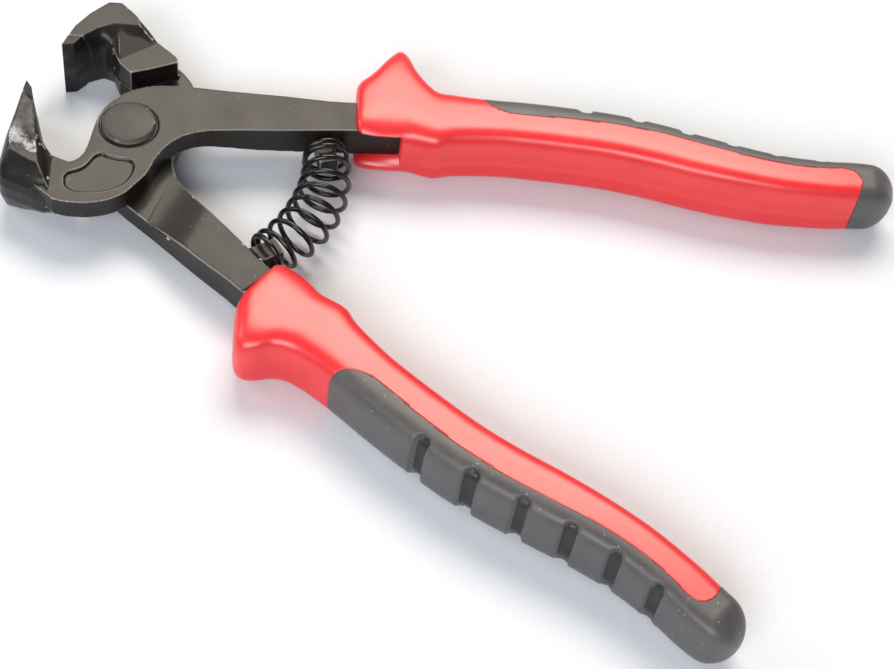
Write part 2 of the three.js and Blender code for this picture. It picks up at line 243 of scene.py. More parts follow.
# Pale line on the sharpest edges: partly worn enamel, partly a painted highlight where rounded edges catch
# the light.
wear_and_highlight_mask = ramp(tree, edge, [(0.515, (0, 0, 0, 1)), (0.56, (0.9, 0.9, 0.9, 1))])
worn_and_highlit = add(tree, "Mix", {"B": linear("#bdb9b2")},
           {"Factor": wear_and_highlight_mask, "A": with_specks.outputs["Result"]}, data_type="RGBA")
tree.links.new(worn_and_highlit.outputs["Result"], shader.inputs["Base Color"])
sheen = ramp(tree, blotch.outputs["Fac"], [(0.3, (0.36, 0.36, 0.36, 1)), (0.7, (0.46, 0.46, 0.46, 1))])
tree.links.new(sheen, shader.inputs["Roughness"])
relief = add(tree, "Bump", {"Strength": 0.35, "Distance": 0.00004}, {"Height": blast.outputs["Fac"]})
tree.links.new(relief.outputs["Normal"], shader.inputs["Normal"])
print(enamel.name, len(tree.nodes), "nodes")

# %% [markdown]
# Ground steel. The front jaw's flank is linished on a belt after enamelling, to narrow it to
# the cutting edge. That leaves bare steel with scratches across it, dark smears of enamel
# and a bright sheen, which fades to an even dark grey towards the tip. The belt is about
# 120 grit, so scratches are 0.1 mm wide, drawn at 0.25 mm and twelve times as long.

# %% Material: ground steel
BELT_ANGLE, SCRATCH_LENGTH = 0.6, 12
FADE_START, FADE_END = -16 * MM, -12 * MM
ground, tree, shader, where = new_material("ground_steel", Metallic=0.85)
belt_way = add(tree, "Mapping", {"Rotation": (0, 0, BELT_ANGLE)}, {"Vector": where})
narrow = add(tree, "VectorMath", {1: (1, SCRATCH_LENGTH, 1)}, {0: belt_way.outputs["Vector"]},
             operation="MULTIPLY")
scratch = add(tree, "TexNoise", {"Scale": per_mm(3), "Detail": 4}, {"Vector": narrow.outputs["Vector"]})
smear = add(tree, "TexNoise", {"Scale": per_mm(2.5), "Detail": 5, "Roughness": 0.65}, {"Vector": where})
tone = ramp(tree, smear.outputs["Fac"], [(0.42, linear("#2b2a2c")), (0.6, linear("#8d939c"))])
depth_in_jaw = add(tree, "SeparateXYZ", links={"Vector": where}).outputs["Y"]
evenness = add(tree, "MapRange", {"From Min": FADE_START, "From Max": FADE_END, "To Min": 0, "To Max": 0.85},
               {"Value": depth_in_jaw})
fading = add(tree, "Mix", {"B": linear("#474648")}, {"Factor": evenness.outputs["Result"], "A": tone},
             data_type="RGBA")
tree.links.new(fading.outputs["Result"], shader.inputs["Base Color"])
gloss = ramp(tree, scratch.outputs["Fac"], [(0.3, (0.24, 0.24, 0.24, 1)), (0.7, (0.48, 0.48, 0.48, 1))])
tree.links.new(gloss, shader.inputs["Roughness"])
relief = add(tree, "Bump", {"Strength": 0.5, "Distance": 0.00006}, {"Height": scratch.outputs["Fac"]})
tree.links.new(relief.outputs["Normal"], shader.inputs["Normal"])
print(ground.name, len(tree.nodes), "nodes")

# %% [markdown]
# Tungsten carbide. The tips are sintered carbide, diamond-ground and then oversprayed with
# the levers, so they are a dark grey metal with a fine even grain, a little brighter than
# the enamel beside them. Sintered grain is 0.002 mm, so a 0.4 mm mottle stands for it.

# %% Material: tungsten carbide
carbide, tree, shader, where = new_material("tungsten_carbide", Metallic=0.5)
grain = add(tree, "TexNoise", {"Scale": per_mm(0.4), "Detail": 3}, {"Vector": where})
film = add(tree, "TexNoise", {"Scale": per_mm(3), "Detail": 4}, {"Vector": where})
tone = ramp(tree, film.outputs["Fac"], [(0.4, linear("#1f1e1f")), (0.65, linear("#37363a"))])
tree.links.new(tone, shader.inputs["Base Color"])
gloss = ramp(tree, grain.outputs["Fac"], [(0.3, (0.34, 0.34, 0.34, 1)), (0.7, (0.44, 0.44, 0.44, 1))])
tree.links.new(gloss, shader.inputs["Roughness"])
print(carbide.name, len(tree.nodes), "nodes")

# %% [markdown]
# Oiled spring wire. Hard-drawn steel wire, blacked in an oil bath: nearly black, with long
# narrow highlights, because drawing leaves the wire smooth along its length.

# %% Material: oiled spring wire
wire, tree, shader, where = new_material(
    "oiled_spring_wire", Metallic=0.5, IOR=1.5, Coat_Weight=0.5, Coat_Roughness=0.1)
film = add(tree, "TexNoise", {"Scale": per_mm(1.6), "Detail": 4}, {"Vector": where})
tone = ramp(tree, film.outputs["Fac"], [(0.35, linear("#131214")), (0.7, linear("#28272a"))])
tree.links.new(tone, shader.inputs["Base Color"])
gloss = ramp(tree, film.outputs["Fac"], [(0.3, (0.2, 0.2, 0.2, 1)), (0.7, (0.32, 0.32, 0.32, 1))])
tree.links.new(gloss, shader.inputs["Roughness"])
print(wire.name, len(tree.nodes), "nodes")

# %% [markdown]
# Red polypropylene. The grip's hard body is injection moulded in a finely spark-eroded tool.
# It is an even strong red that light enters a little, with a satin skin: IOR 1.49, and a
# texture of about 0.15 mm that only softens the highlight, drawn at 0.35 mm.

# %% Material: red polypropylene
red, tree, shader, where = new_material(
    "red_polypropylene", IOR=1.49, Specular_IOR_Level=0.9, Subsurface_Weight=0.08, Subsurface_Scale=0.0015)
cloud = add(tree, "TexNoise", {"Scale": per_mm(14), "Detail": 3}, {"Vector": where})
erode = add(tree, "TexNoise", {"Scale": per_mm(0.35), "Detail": 2}, {"Vector": where})
tone = ramp(tree, cloud.outputs["Fac"], [(0.35, linear("#e5242c")), (0.7, linear("#ec2d33"))])
tree.links.new(tone, shader.inputs["Base Color"])
gloss = ramp(tree, erode.outputs["Fac"], [(0.3, (0.3, 0.3, 0.3, 1)), (0.7, (0.38, 0.38, 0.38, 1))])
tree.links.new(gloss, shader.inputs["Roughness"])
relief = add(tree, "Bump", {"Strength": 0.15, "Distance": 0.00003}, {"Height": erode.outputs["Fac"]})
tree.links.new(relief.outputs["Normal"], shader.inputs["Normal"])
print(red.name, len(tree.nodes), "nodes")

# %% [markdown]
# Soft rubber. The inlay is a thermoplastic rubber moulded over the red body. It is a warm
# dark grey with a dry matt skin, pale dust specks that cling to it, and faint rubbed
# patches. Dust specks are 0.1 to 0.2 mm.

# %% Material: soft rubber
rubber, tree, shader, where = new_material(
    "soft_rubber", IOR=1.5, Specular_IOR_Level=0.8, Sheen_Weight=0.12, Sheen_Roughness=0.5)
rub = add(tree, "TexNoise", {"Scale": per_mm(6), "Detail": 5, "Roughness": 0.6}, {"Vector": where})
grain = add(tree, "TexNoise", {"Scale": per_mm(0.3), "Detail": 3}, {"Vector": where})
dust = add(tree, "TexVoronoi", {"Scale": per_mm(2.2)}, {"Vector": where})
tone = ramp(tree, rub.outputs["Fac"], [(0.35, linear("#454245")), (0.7, linear("#514e50"))])
dust_mask = ramp(tree, dust.outputs["Distance"], [(0.055, (0.7, 0.7, 0.7, 1)), (0.1, (0, 0, 0, 1))])
dusted = add(tree, "Mix", {"B": linear("#a9a6a4")}, {"Factor": dust_mask, "A": tone}, data_type="RGBA")
tree.links.new(dusted.outputs["Result"], shader.inputs["Base Color"])
gloss = ramp(tree, rub.outputs["Fac"], [(0.3, (0.42, 0.42, 0.42, 1)), (0.7, (0.54, 0.54, 0.54, 1))])
tree.links.new(gloss, shader.inputs["Roughness"])
relief = add(tree, "Bump", {"Strength": 0.3, "Distance": 0.00005}, {"Height": grain.outputs["Fac"]})
tree.links.new(relief.outputs["Normal"], shader.inputs["Normal"])
print(rubber.name, len(tree.nodes), "nodes")

# %% [markdown]
# Groove rubber. It is the inlay's own rubber, but the floors of the finger grooves are drawn
# darker and smoother than the skin around them, as a material of their own. The darkness
# is painted shade, standing in for the shadow inside each groove.

# %% Material: groove rubber, with painted shade
groove_shaded_rubber, tree, shader, where = new_material("groove_shaded_rubber", IOR=1.5)
# Dark mottled tone: painted shade on the groove floors.
groove_mottle = add(tree, "TexNoise", {"Scale": per_mm(1.5), "Detail": 4}, {"Vector": where})
tone = ramp(tree, groove_mottle.outputs["Fac"], [(0.35, linear("#1f1e1e")), (0.7, linear("#2d2b2a"))])
tree.links.new(tone, shader.inputs["Base Color"])
gloss = ramp(tree, groove_mottle.outputs["Fac"], [(0.3, (0.36, 0.36, 0.36, 1)), (0.7, (0.5, 0.5, 0.5, 1))])
tree.links.new(gloss, shader.inputs["Roughness"])
print(groove_shaded_rubber.name, len(tree.nodes), "nodes")


# %% [markdown]
# Working with meshes. A piece starts as solids: prisms over a plan outline, and lofts
# through rings of points. Each is a list of points and a list of faces, so solids join by
# simply putting the lists together. Curves through a few given points keep outlines short.

# %% Points, prisms and lofts
def curve(points, per_span=6):
    """Points along a smooth curve through the given ones, in any number of dimensions."""
    p = np.array(points, float)
    p = np.vstack([2 * p[0] - p[1], p, 2 * p[-1] - p[-2]])
    t = np.arange(per_span)[:, None] / per_span
    spans = []
    for a, b, c, d in zip(p, p[1:], p[2:], p[3:]):
        spans.append(0.5 * (2 * b + (c - a) * t + (2 * a - 5 * b + 4 * c - d) * t**2
                            + (3 * b - a - 3 * c + d) * t**3))
    return np.vstack([*spans, p[-2][None]])


def evenly(points, per_span):
    """Points along the straight lines between the given ones."""
    points = np.array(points, float)
    spots = np.linspace(0, len(points) - 1, (len(points) - 1) * per_span + 1)
    return np.stack([np.interp(spots, range(len(points)), c) for c in points.T], 1)


def loft(rings):
    """A closed solid through rings of equal point count, capped at both ends."""
    count = len(rings[0])
    faces = []
    for r in range(len(rings) - 1):
        for i in range(count):
            a, b = r * count + i, r * count + (i + 1) % count
            faces.append((a, b, b + count, a + count))
    last = (len(rings) - 1) * count
    faces += [tuple(reversed(range(count))), tuple(range(last, last + count))]
    return [tuple(p) for ring in rings for p in ring], faces


def prism(outline, low, high):
    """A plan outline raised between two heights, which are numbers or functions of x."""
    rings = []
    for level in (low, high):
        rings.append([(x, y, level(x) if callable(level) else level) for x, y in outline])
    return loft(rings)


def sideways(path, distance):
    """A plan path moved to its left."""
    path = np.array(path, float)[:, :2]
    along = np.gradient(path, axis=0)
    along /= np.linalg.norm(along, axis=1)[:, None]
    return path + np.stack([-along[:, 1], along[:, 0]], 1) * distance


def solid_object(name, *solids):
    """One object from one or more solids, with all faces pointing out."""
    points, faces = [], []
    for solid_points, solid_faces in solids:
        faces += [tuple(i + len(points) for i in face) for face in solid_faces]
        points += solid_points
    mesh = bpy.data.meshes.new(name)
    mesh.from_pydata(points, [], faces)
    work = bmesh.new()
    work.from_mesh(mesh)
    bmesh.ops.recalc_face_normals(work, faces=work.faces)
    work.to_mesh(mesh)
    work.free()
    obj = bpy.data.objects.new(name, mesh)
    bpy.context.scene.collection.objects.link(obj)
    return obj


# %% Modifiers that are applied at once
def modify(obj, kind, **settings):
    """Adds a modifier, applies it and leaves the plain result."""
    modifier = obj.modifiers.new(kind.lower(), kind)
    for option, value in settings.items():
        setattr(modifier, option, value)
    graph = bpy.context.evaluated_depsgraph_get()
    mesh = bpy.data.meshes.new_from_object(obj.evaluated_get(graph))
    obj.modifiers.clear()
    old, obj.data = obj.data, mesh
    bpy.data.meshes.remove(old)


def combine(obj, other, operation):
    """obj cut by, or shared with, another object, which is used up."""
    modify(obj, "BOOLEAN", operation=operation, object=other, solver="EXACT")
    bpy.data.objects.remove(other)
    return obj


def coordinates(obj):
    """The places of a mesh's points, as rows of x, y and z."""
    flat = np.empty(len(obj.data.vertices) * 3)
    obj.data.vertices.foreach_get("co", flat)
    return flat.reshape(-1, 3)


def finish_piece(obj, side, body, material, slot, *nodes):
    """Puts a piece drawn from the lap plane in its place, on its body if it has one, and hides the CAD parts
    it stands for.
    """
    turned = Matrix.Rotation(math.pi, 4, "X") if side == "rear" else Matrix.Identity(4)
    obj.data.transform(Matrix.Translation((0, 0, LAP_Z)) @ turned @ Matrix.Scale(MM, 4))
    if not obj.data.materials:
        obj.data.materials.append(material)
    obj.data.shade_smooth()
    if body:
        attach(obj, body)
    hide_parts(*nodes)
    print(obj.name, len(obj.data.polygons), "faces")


# %% [markdown]
# Lever plan. The two levers are the same forging up to the jaw. Its plan runs from the
# straight walls of the shank, round the boss, and along the S-shaped waist and throat into
# the jaw. The rear lever is drawn in the front one's place and turned over afterwards.

# %% Lever outlines
inner_wall = [(16.8, 6.7), (22.7, 9.8), (30.8, 13.8), (40.8, 19), (46, 21.6)]
outer_wall = [(44.5, 30.2), (37.2, 27.2), (28.5, 24.3), (15.6, 19.6)]
waist = [(14.1, 4.7), (11.7, 1.8), (10.1, -2.3), (9.7, -6.4), (9.9, -10.6), (9.2, -14.1), (8.2, -17.8),
         (6.5, -20.5), (4.6, -22.4), (2.3, -24), (0, -25.1), (-2.6, -26), (-5.1, -26.4)]
throat = [(7.4, 16.8), (3.8, 15.3), (-0.2, 13.2), (-2.9, 11.1), (-5.1, 8.3), (-6.9, 4.1), (-7.4, 0),
          (-6.6, -4.5), (-5.5, -9), (-5.2, -12.2), (-5.8, -14.3), (-7.3, -15.8), (-8.7, -16.1),
          (-10.4, -15.7)]
plate_plan = [*inner_wall, *outer_wall, *curve(throat), *curve(waist[::-1])]
LAP_GAP = 0.3
plate = prism(plate_plan, LAP_GAP / 2, LEVER_FACE)

SHANK_START, SHANK_GRIP, BACK_START, BACK_GRIP = 10, 48, -0.5, -2.9
shank_plan = [(13.2, 4.6), *inner_wall, *outer_wall[:3], (14.2, 18.9)]


def shank_back(x):
    """The shank gets thicker on its lapped side towards the grip."""
    share = (x - SHANK_START) / (SHANK_GRIP - SHANK_START)
    return BACK_START + (BACK_GRIP - BACK_START) * share


shank = prism(shank_plan, shank_back, LEVER_FACE)


def strip(path, low, high):
    """A bar along (x, y, half width) points."""
    half = np.array(path)[:, 2:]
    left, straight = sideways(path, 1) - np.array(path)[:, :2], np.array(path)[:, :2]
    return prism([*(straight - left * half), *(straight + left * half)[::-1]], low, high)


root = strip([(43.8, 25.2, 4.2), (54, 29.9, 4.1)], BACK_GRIP, LEVER_FACE)
tang = strip([(46, 26.2, 3.6), (57, 30.8, 3.2), (66, 33.9, 2.8), (80, 37.9, 2.1), (97, 43.2, 2)], -2.4, 2.8)
print("plan of", len(plate_plan), "points")

# %% [markdown]
# Jaws. Each jaw is as wide as the whole tool is thick, and barrelled: fullest at the middle
# of its thickness. It is lofted through rings that go from an outline at one face, through
# the fuller one at the middle, to an outline at the other face. The upper face has the
# straight-sided flank outline, and the lower one an outline of its own. The tip and the land
# behind the cutting edge stay sharp. A shoulder slopes from the flank to the lever's face.

# %% Jaw outlines
JAW_FACE, JAW_HEEL = 8, -16
JAW_LEVELS = [8, 7.8, 7.3, 6.5, 5.4, 4, 2]  # distances of the rings from the lap plane
TOP_BOW, UNDER_BOW = 3, 1.5  # how steeply a jaw's walls meet its top and its underside
jaws = {
    "front": {
        "tip": (-26.3, 1.2),
        "land": (-24.1, -0.4),
        "flank": [(-19.6, -7.2), (-16.2, -13), (-13, -18.2), (-11, -21), (-15.2, -20.6), (-19, -19.8),
                  (-21.4, -15.3), (-23.3, -9), (-25.2, -3)],
        "middle": [(-18.4, -7.4), (-14.4, -12.1), (-10.6, -15), (-6.2, -25.2), (-14.4, -25.7), (-19.4, -24.8),
                   (-22.3, -16.6), (-24, -9.6), (-25.6, -3.2)],
        "under": [(-19.6, -7.2), (-16.2, -13), (-12.4, -16), (-9.3, -20.4), (-14.6, -22.4), (-19, -23),
                  (-21.6, -15.8), (-23.4, -9.2), (-25.2, -3)],
        "shoulder": ([(-10.2, -16.2), (-15.4, -18.1), (-12, -21.2), (-6.4, -24.9)],
                     [(-14.7, -15.9), (-15.4, -18.1), (-13.5, -20), (-11.2, -20.9)]),
        "relief": 2,
        "up": 1,
        "seat": [(-21.7, -4), (-25.4, -1.9)],
        "necks": [
            (-LEVER_FACE, 1, [(-10.8, -15.2), (-7, -15), (-3.8, -18), (-8.6, -21.4), (-14, -22)]),
            (0.5, LEVER_FACE, [(-10.8, -15.4), (-7, -15.4), (0, -19), (0, -25), (-5.1, -26.3), (-14, -23.6)]),
        ],
    },
    "rear": {
        "tip": (-23.6, -12.9),
        "land": (-21.4, -14.3),
        "flank": [(-20.6, -18.2), (-18.9, -21.2), (-16.2, -24.4), (-10.4, -26.6), (-12.4, -28.6),
                  (-17.5, -31.1), (-20.3, -30.1), (-22.6, -24.8), (-23.9, -19.4)],
        "middle": [(-19.4, -17.6), (-16.6, -19.8), (-13, -18.6), (-9.6, -22), (-12.6, -30.6), (-18.8, -32.3),
                   (-22.6, -29.4), (-23.9, -25), (-24.2, -19.6)],
        "under": [(-20.2, -18), (-17.6, -20.8), (-14.6, -20.8), (-11, -23), (-12.8, -28.8), (-17.8, -31),
                  (-20.8, -29.8), (-22.8, -24.8), (-23.9, -19.4)],
        "shoulder": ([(-10.9, -16.4), (-16.4, -24.1), (-12.3, -28.9), (-5.6, -24.7)],
                     [(-15, -24.6), (-16.4, -26), (-12.6, -28), (-10.6, -26.8)]),
        "relief": 0,
        "up": -1,
        "seat": [(-19.9, -17.7), (-24, -16.2)],
        "necks": [
            (-LEVER_FACE, 1, [(-14, -19), (-10.6, -15.9), (-7, -14.3), (-3.4, -17.5), (1.2, -22.2),
                              (0.4, -23.4), (-2, -24.4), (-5.8, -25.7), (-9.1, -28.1), (-13, -30.4),
                              (-17, -31.4)]),
            (0.5, LEVER_FACE, [(-14, -19), (-10.6, -15.4), (-7, -15.4), (0, -19), (0, -25), (-5.8, -25.7),
                               (-9.1, -28.1), (-13, -30.4), (-17, -31.4)]),
        ],
    },
}


def jaw_block(jaw):
    """A whole jaw, with its carbide tip still in one with it."""
    tip, land = jaw["tip"], jaw["land"]

    def ring(level):
        side, bow = ("flank", TOP_BOW) if level * jaw["up"] > 0 else ("under", UNDER_BOW)
        fullness = 1 - (abs(level) / JAW_FACE) ** bow
        flank = evenly([land, *jaw[side], tip], 4)
        middle = curve([land, *jaw["middle"], tip], 4)
        rounded = [tip, land, *(flank + (middle - flank) * fullness)[1:-1]]
        lean = [jaw["relief"] * max(0, (y - JAW_HEEL) / (tip[1] - JAW_HEEL)) for _, y in rounded]
        return [(x, y, level * (1 - drop / JAW_FACE)) for (x, y), drop in zip(rounded, lean)]

    return loft([*[ring(-level) for level in JAW_LEVELS], *[ring(level) for level in JAW_LEVELS[::-1]]])


SHOULDER_SUNK = 0.2  # how far the shoulder ends under the jaw's face
SEAT_OVERLAP, CUTTER_REACH, CUTTER_DEPTH = 1.5, 10, 12


def shoulder(jaw):
    """The slope from a jaw's flank down to the lever's face."""
    foot, top = jaw["shoulder"]
    heights = ((foot, LEVER_FACE / 2), (foot, LEVER_FACE), (top, JAW_FACE - SHOULDER_SUNK))
    return loft([[(x, y, z * jaw["up"]) for x, y in corners] for corners, z in heights])


def seat_cutter(jaw, gap):
    """A block over everything on the cutting side of the carbide tip's seat."""
    inner, outer = (np.array(end, float) for end in jaw["seat"])
    along = (outer - inner) / np.linalg.norm(outer - inner)
    across = np.array([along[1], -along[0]])
    corners = [inner - SEAT_OVERLAP * along + gap * across, outer + CUTTER_REACH * along + gap * across]
    corners += [corners[1] + CUTTER_DEPTH * across, corners[0] + CUTTER_DEPTH * across]
    return solid_object("seat_cutter", prism(corners, -2 * JAW_FACE, 2 * JAW_FACE))


print("jaws:", ", ".join(jaws))

# %% [markdown]
# Forging. A drop forging has no sharp corners: every wall flows into the next with a small
# fillet. Putting the overlapping solids through a fine voxel remesh fuses them, and a few
# rounds of smoothing then round every edge by about half a millimetre, which is what a worn
# die gives. Three details are moves of the fused skin's points: the shallow pocket beside the
# front jaw, the ring that the rivet's peening leaves, and the slope on the lapped side
# where the shank gets thicker. The front jaw's flanks get the ground steel.

# %% Fuse a lever and press its details
VOXEL, EDGE_ROUNDS = 0.25, 5
POCKET_DEPTH, POCKET_WALL = 0.6, 0.5
HOLE, HOLE_SIDES, HOLE_CUT = 4.1, 64, 9
RING_RADIUS, RING_WIDTH, RING_DEPTH, RING_REACH = 6.3, 0.3, 0.35, 2
RAMP_START, RAMP_LENGTH, RAMP_OVERLAP = 12.2, 14, 1
FACE_BAND, BACK_BAND = 0.1, 0.2  # how near a face a point must lie to be moved with it
GROUND_HEIGHT, GROUND_FLATNESS, GROUND_BACK, GROUND_SIDE = 6.0, 0.93, -18.5, -12
SEAT_X, SEAT_Y = 39.8, 18.3  # where the spring sits on a lever
LUG_LEAN, LUG_SUNK, LUG_REACH, LUG_HALF, LUG_THICK = math.radians(36.3), 1.6, 6, 2.2, 2
pocket = [(-5.9, -19.6), (-5.6, -18), (-3.9, -16.1), (-3.1, -14.2), (-2.7, -11.4), (-1.6, -9.9), (0, -9.8),
          (2.2, -9.5), (4.2, -8.8), (6, -9.1), (7.1, -10.7), (7.4, -14), (6.2, -17.3), (3.2, -20.3),
          (-1.4, -22.5), (-4.4, -22), (-5.9, -19.6)]


def inside_distance(points, outline):
    """How deep each point lies inside a closed outline, negative outside it."""
    points, outline = np.array(points), np.array(outline)
    nearest = np.full(len(points), np.inf)
    inside = np.zeros(len(points), bool)
    for (ax, ay), (bx, by) in zip(outline, outline[1:]):
        edge = np.array([bx - ax, by - ay])
        away_from = points - (ax, ay)
        share = np.clip(away_from @ edge / (edge @ edge), 0, 1)
        nearest = np.minimum(nearest, np.linalg.norm(away_from - share[:, None] * edge, axis=1))
        crossing = (ay > points[:, 1]) != (by > points[:, 1])
        with np.errstate(divide="ignore", invalid="ignore"):
            inside ^= crossing & (points[:, 0] < (bx - ax) * (points[:, 1] - ay) / (by - ay) + ax)
    return np.where(inside, nearest, -nearest)


def ease(value):
    """A step from 0 to 1 with soft ends."""
    t = np.clip(value, 0, 1)
    return t * t * (3 - 2 * t)


def spring_lug():
    """A forged peg that the spring's close end turns grip."""
    seat = np.array([SEAT_X, SEAT_Y])
    along = np.array([math.sin(LUG_LEAN), -math.cos(LUG_LEAN)])
    across = LUG_HALF * np.array([math.cos(LUG_LEAN), math.sin(LUG_LEAN)])
    root_end, free_end = seat - LUG_SUNK * along, seat + LUG_REACH * along
    corners = [root_end - across, root_end + across, free_end + across, free_end - across]
    return prism(corners, -LUG_THICK, LUG_THICK)


def build_lever(side):
    """A forged lever, fused from its solids, with its details pressed in and its hole cut."""
    jaw = jaws[side]
    block = combine(solid_object("jaw", jaw_block(jaw)), seat_cutter(jaw, 0), "DIFFERENCE")
    block_points = [tuple(v.co) for v in block.data.vertices]
    block_faces = [tuple(f.vertices) for f in block.data.polygons]
    bpy.data.objects.remove(block)
    necks = [prism(outline, low, high) for low, high, outline in jaw["necks"]]
    obj = solid_object(f"{side}_lever_forged", plate, shank, root, tang, spring_lug(),
                       (block_points, block_faces), shoulder(jaw), *necks)
    modify(obj, "REMESH", mode="VOXEL", voxel_size=VOXEL)
    modify(obj, "SMOOTH", factor=0.5, iterations=EDGE_ROUNDS)

    co = coordinates(obj)
    radius = np.hypot(co[:, 0], co[:, 1])
    on_face = co[:, 2] > LEVER_FACE - FACE_BAND
    ring = np.exp(-((radius - RING_RADIUS) / RING_WIDTH) ** 2) * RING_DEPTH
    co[:, 2] -= np.where(on_face & (radius < RING_RADIUS + RING_REACH), ring, 0)
    on_back = (co[:, 2] < LAP_GAP) & (co[:, 2] > shank_back(co[:, 0]) - BACK_BAND)
    on_back &= (co[:, 0] > RAMP_START - RAMP_OVERLAP) & (co[:, 0] < RAMP_START + RAMP_LENGTH)
    rise = ease((co[:, 0] - RAMP_START) / RAMP_LENGTH)
    co[:, 2] = np.where(on_back, LAP_GAP / 2 + (co[:, 2] - LAP_GAP / 2) * rise, co[:, 2])
    if side == "front":
        depth = ease(inside_distance(co[:, :2], curve(pocket, 4)) / POCKET_WALL) * POCKET_DEPTH
        co[:, 2] -= np.where(on_face & (co[:, 2] < LEVER_FACE + FACE_BAND), depth, 0)
    obj.data.vertices.foreach_set("co", co.ravel())
    angles = np.linspace(0, 2 * math.pi, HOLE_SIDES, endpoint=False)
    hole = [(HOLE * math.cos(a), HOLE * math.sin(a)) for a in angles]
    combine(obj, solid_object("hole", prism(hole, -HOLE_CUT, HOLE_CUT)), "DIFFERENCE")

    obj.data.materials.append(enamel)
    obj.data.materials.append(ground)
    if side == "front":
        for face in obj.data.polygons:
            flat = abs(face.center.z) > GROUND_HEIGHT and abs(face.normal.z) > GROUND_FLATNESS
            if flat and face.center.y > GROUND_BACK and face.center.x < GROUND_SIDE:
                face.material_index = 1
    return obj


for side, body in (("front", FRONT), ("rear", REAR)):
    finish_piece(build_lever(side), side, body, enamel, "lever_steel", f"{side}_lever")

# %% [markdown]
# Carbide tips. Each tip is the part of the jaw beyond its seat: a hard block brazed on and
# ground flush, so it is cut from the same loft as the jaw and keeps its sharp cutting edge,
# with only a hair of a chamfer.

# %% Carbide tips
BRAZE_LINE, HAIR_CHAMFER = 0.12, 0.12
SHARP_CORNER = math.radians(35)
for side, body in (("front", FRONT), ("rear", REAR)):
    jaw = jaws[side]
    tip = solid_object(f"{side}_tip_ground", jaw_block(jaw))
    combine(tip, seat_cutter(jaw, BRAZE_LINE), "INTERSECT")
    modify(tip, "BEVEL", width=HAIR_CHAMFER, segments=2, limit_method="ANGLE", angle_limit=SHARP_CORNER)
    finish_piece(tip, side, body, carbide, "carbide", f"{side}_carbide_tip")
    tip.data.shade_flat()

# %% [markdown]
# Rivet. One turned and peened pin holds the levers. Its half outline is spun round the
# pivot: a flat low head whose rim is broken by a small round, so it catches a bright line.

# %% Pivot rivet
PIN_RADIUS, HEAD_RADIUS, HEAD_UNDER, HEAD_TOP = 4, 5.85, 5.35, 6.9
RIM, RIM_STEPS, UNDER_CHAMFER, SPIN_STEPS = 0.45, 7, 0.15, 128
rim = [(HEAD_RADIUS - RIM + RIM * math.sin(a), HEAD_TOP - RIM + RIM * math.cos(a))
       for a in np.linspace(math.pi / 2, 0, RIM_STEPS)]
half_profile = [(PIN_RADIUS, HEAD_UNDER), (HEAD_RADIUS - UNDER_CHAMFER, HEAD_UNDER),
                (HEAD_RADIUS, HEAD_UNDER + UNDER_CHAMFER), *rim]
profile = [(r, -z) for r, z in reversed(half_profile)] + half_profile
turns = np.linspace(0, 2 * math.pi, SPIN_STEPS, endpoint=False)
spun = []
for r, z in profile:
    spun.append([(r * math.cos(a), r * math.sin(a), z) for a in turns])
rivet = solid_object("pivot_rivet_peened", loft(spun))
finish_piece(rivet, "front", FRONT, enamel, "rivet_steel", "pivot_rivet")

# %% [markdown]
# Return spring. Ten turns of wire, close on each lug and open between them, wound on a
# middle line that is bent to an arc between the two levers. Sweeping a round section along
# that path gives the wire.

# %% Return spring
WIRE, COILS, LIFT, CLOSE_COILS, CLOSE_PITCH = 1.2, 10, 1.7, 1.5, 1.7
END_RADIUS, BELLY_RADIUS, BELLY_POWER, BOW = 4.6, 5.7, 1.5, 6
arc_radius = (SEAT_Y**2 + BOW**2) / (2 * BOW)
arc_centre = SEAT_X + BOW - arc_radius
arc_half = math.asin(SEAT_Y / arc_radius)
STEPS_PER_COIL, WIRE_SIDES, END_SHRINK = 40, 14, 0.8


def spring_point(share):
    """The middle of the wire at a share of its turns, from one lug to the other."""
    length = 2 * arc_half * arc_radius - 2 * LIFT
    open_pitch = (length - 2 * CLOSE_COILS * CLOSE_PITCH) / (COILS - 2 * CLOSE_COILS)
    coil = share * COILS
    from_end = min(coil, COILS - coil)
    near = min(from_end, CLOSE_COILS) * CLOSE_PITCH + max(0, from_end - CLOSE_COILS) * open_pitch
    along = LIFT + (near if coil < COILS / 2 else length - near)
    angle = arc_half - along / arc_radius
    radius = END_RADIUS + (BELLY_RADIUS - END_RADIUS) * math.sin(math.pi * share) ** BELLY_POWER
    wind = 2 * math.pi * coil
    reach = arc_radius + radius * math.cos(wind)
    return (arc_centre + reach * math.cos(angle), reach * math.sin(angle), radius * math.sin(wind))


def sweep(path, radius, sides):
    """A round bar along a path, its ends slightly rounded."""
    path = np.array(path)
    along = np.gradient(path, axis=0)
    along /= np.linalg.norm(along, axis=1)[:, None]
    side_way = np.cross(along[0], (0, 0, 1))
    rings = []
    for i, (point, ahead) in enumerate(zip(path, along)):
        side_way = side_way - ahead * (side_way @ ahead)
        side_way /= np.linalg.norm(side_way)
        other = np.cross(ahead, side_way)
        size = radius * (END_SHRINK if i in (0, len(path) - 1) else 1)
        angles = np.linspace(0, 2 * math.pi, sides, endpoint=False)
        rings.append([tuple(point + size * (math.cos(a) * side_way + math.sin(a) * other)) for a in angles])
    return loft(rings)


steps = COILS * STEPS_PER_COIL
spring = solid_object("return_spring_wound", sweep(
    [spring_point(i / steps) for i in range(steps + 1)], WIRE / 2, WIRE_SIDES))
finish_piece(spring, "front", None, wire, "spring_wire", "return_spring")
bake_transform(spring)

# %% [markdown]
# Grips. A grip is a row of rounded sections: across the finger guard at the nose, then
# square to the handle's middle line, down to the rounded end. The whole form is lofted
# once, in rings 0.4 mm apart, and the hard body and the soft inlay are parted from it along
# one line in plan, as the two shots of the mould do.

